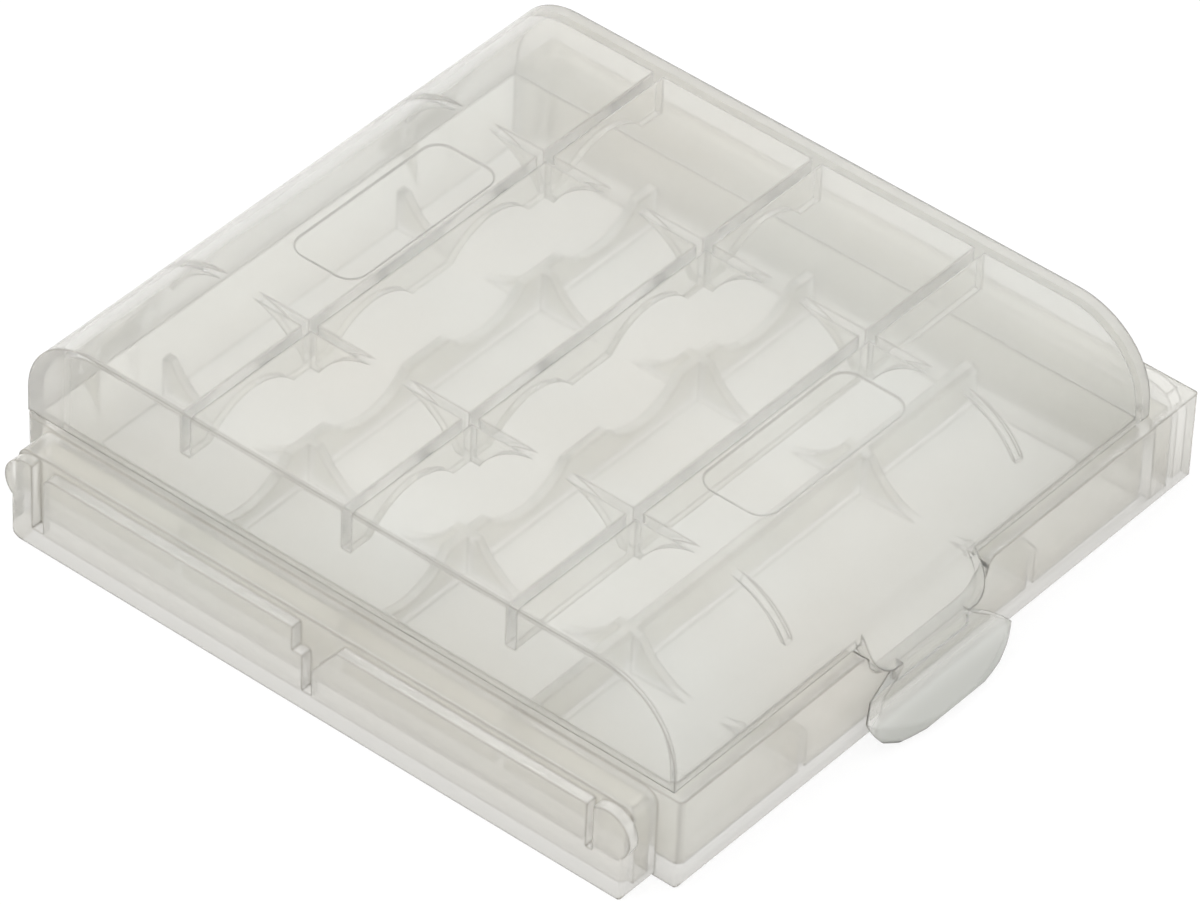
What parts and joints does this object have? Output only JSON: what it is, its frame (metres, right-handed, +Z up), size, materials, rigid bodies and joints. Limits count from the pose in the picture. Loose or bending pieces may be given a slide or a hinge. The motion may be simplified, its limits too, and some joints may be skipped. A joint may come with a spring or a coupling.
{
  "type": "battery storage case",
  "caption": "Small hinged pocket case in translucent plastic that stores loose AA or AAA cells in half-round cradles, with a finger latch and side joining pads.",
  "frame": {"origin": "on the flat underside, below the middle rib and halfway between the lid's end walls", "axes": "+X runs along the hinge from the joining block to the joining socket, -Y points to the latch, +Z is up"},
  "size_m": [0.0644, 0.0693, 0.0168],
  "materials": {
    "base_plastic": "frosted natural polypropylene, translucent",
    "lid_plastic": "frosted natural polypropylene, translucent, thin"
  },
  "bodies": {
    "base": {"base": "base_plastic"},
    "lid": {"lid": "lid_plastic"}
  },
  "joints": [
    {"name": "lid_hinge", "type": "hinge", "parent": "base", "child": "lid", "pos_m": [0, 0.03205, 0.00845], "axis": [-1, 0, 0], "range_deg": [0, 180]}
  ]
}
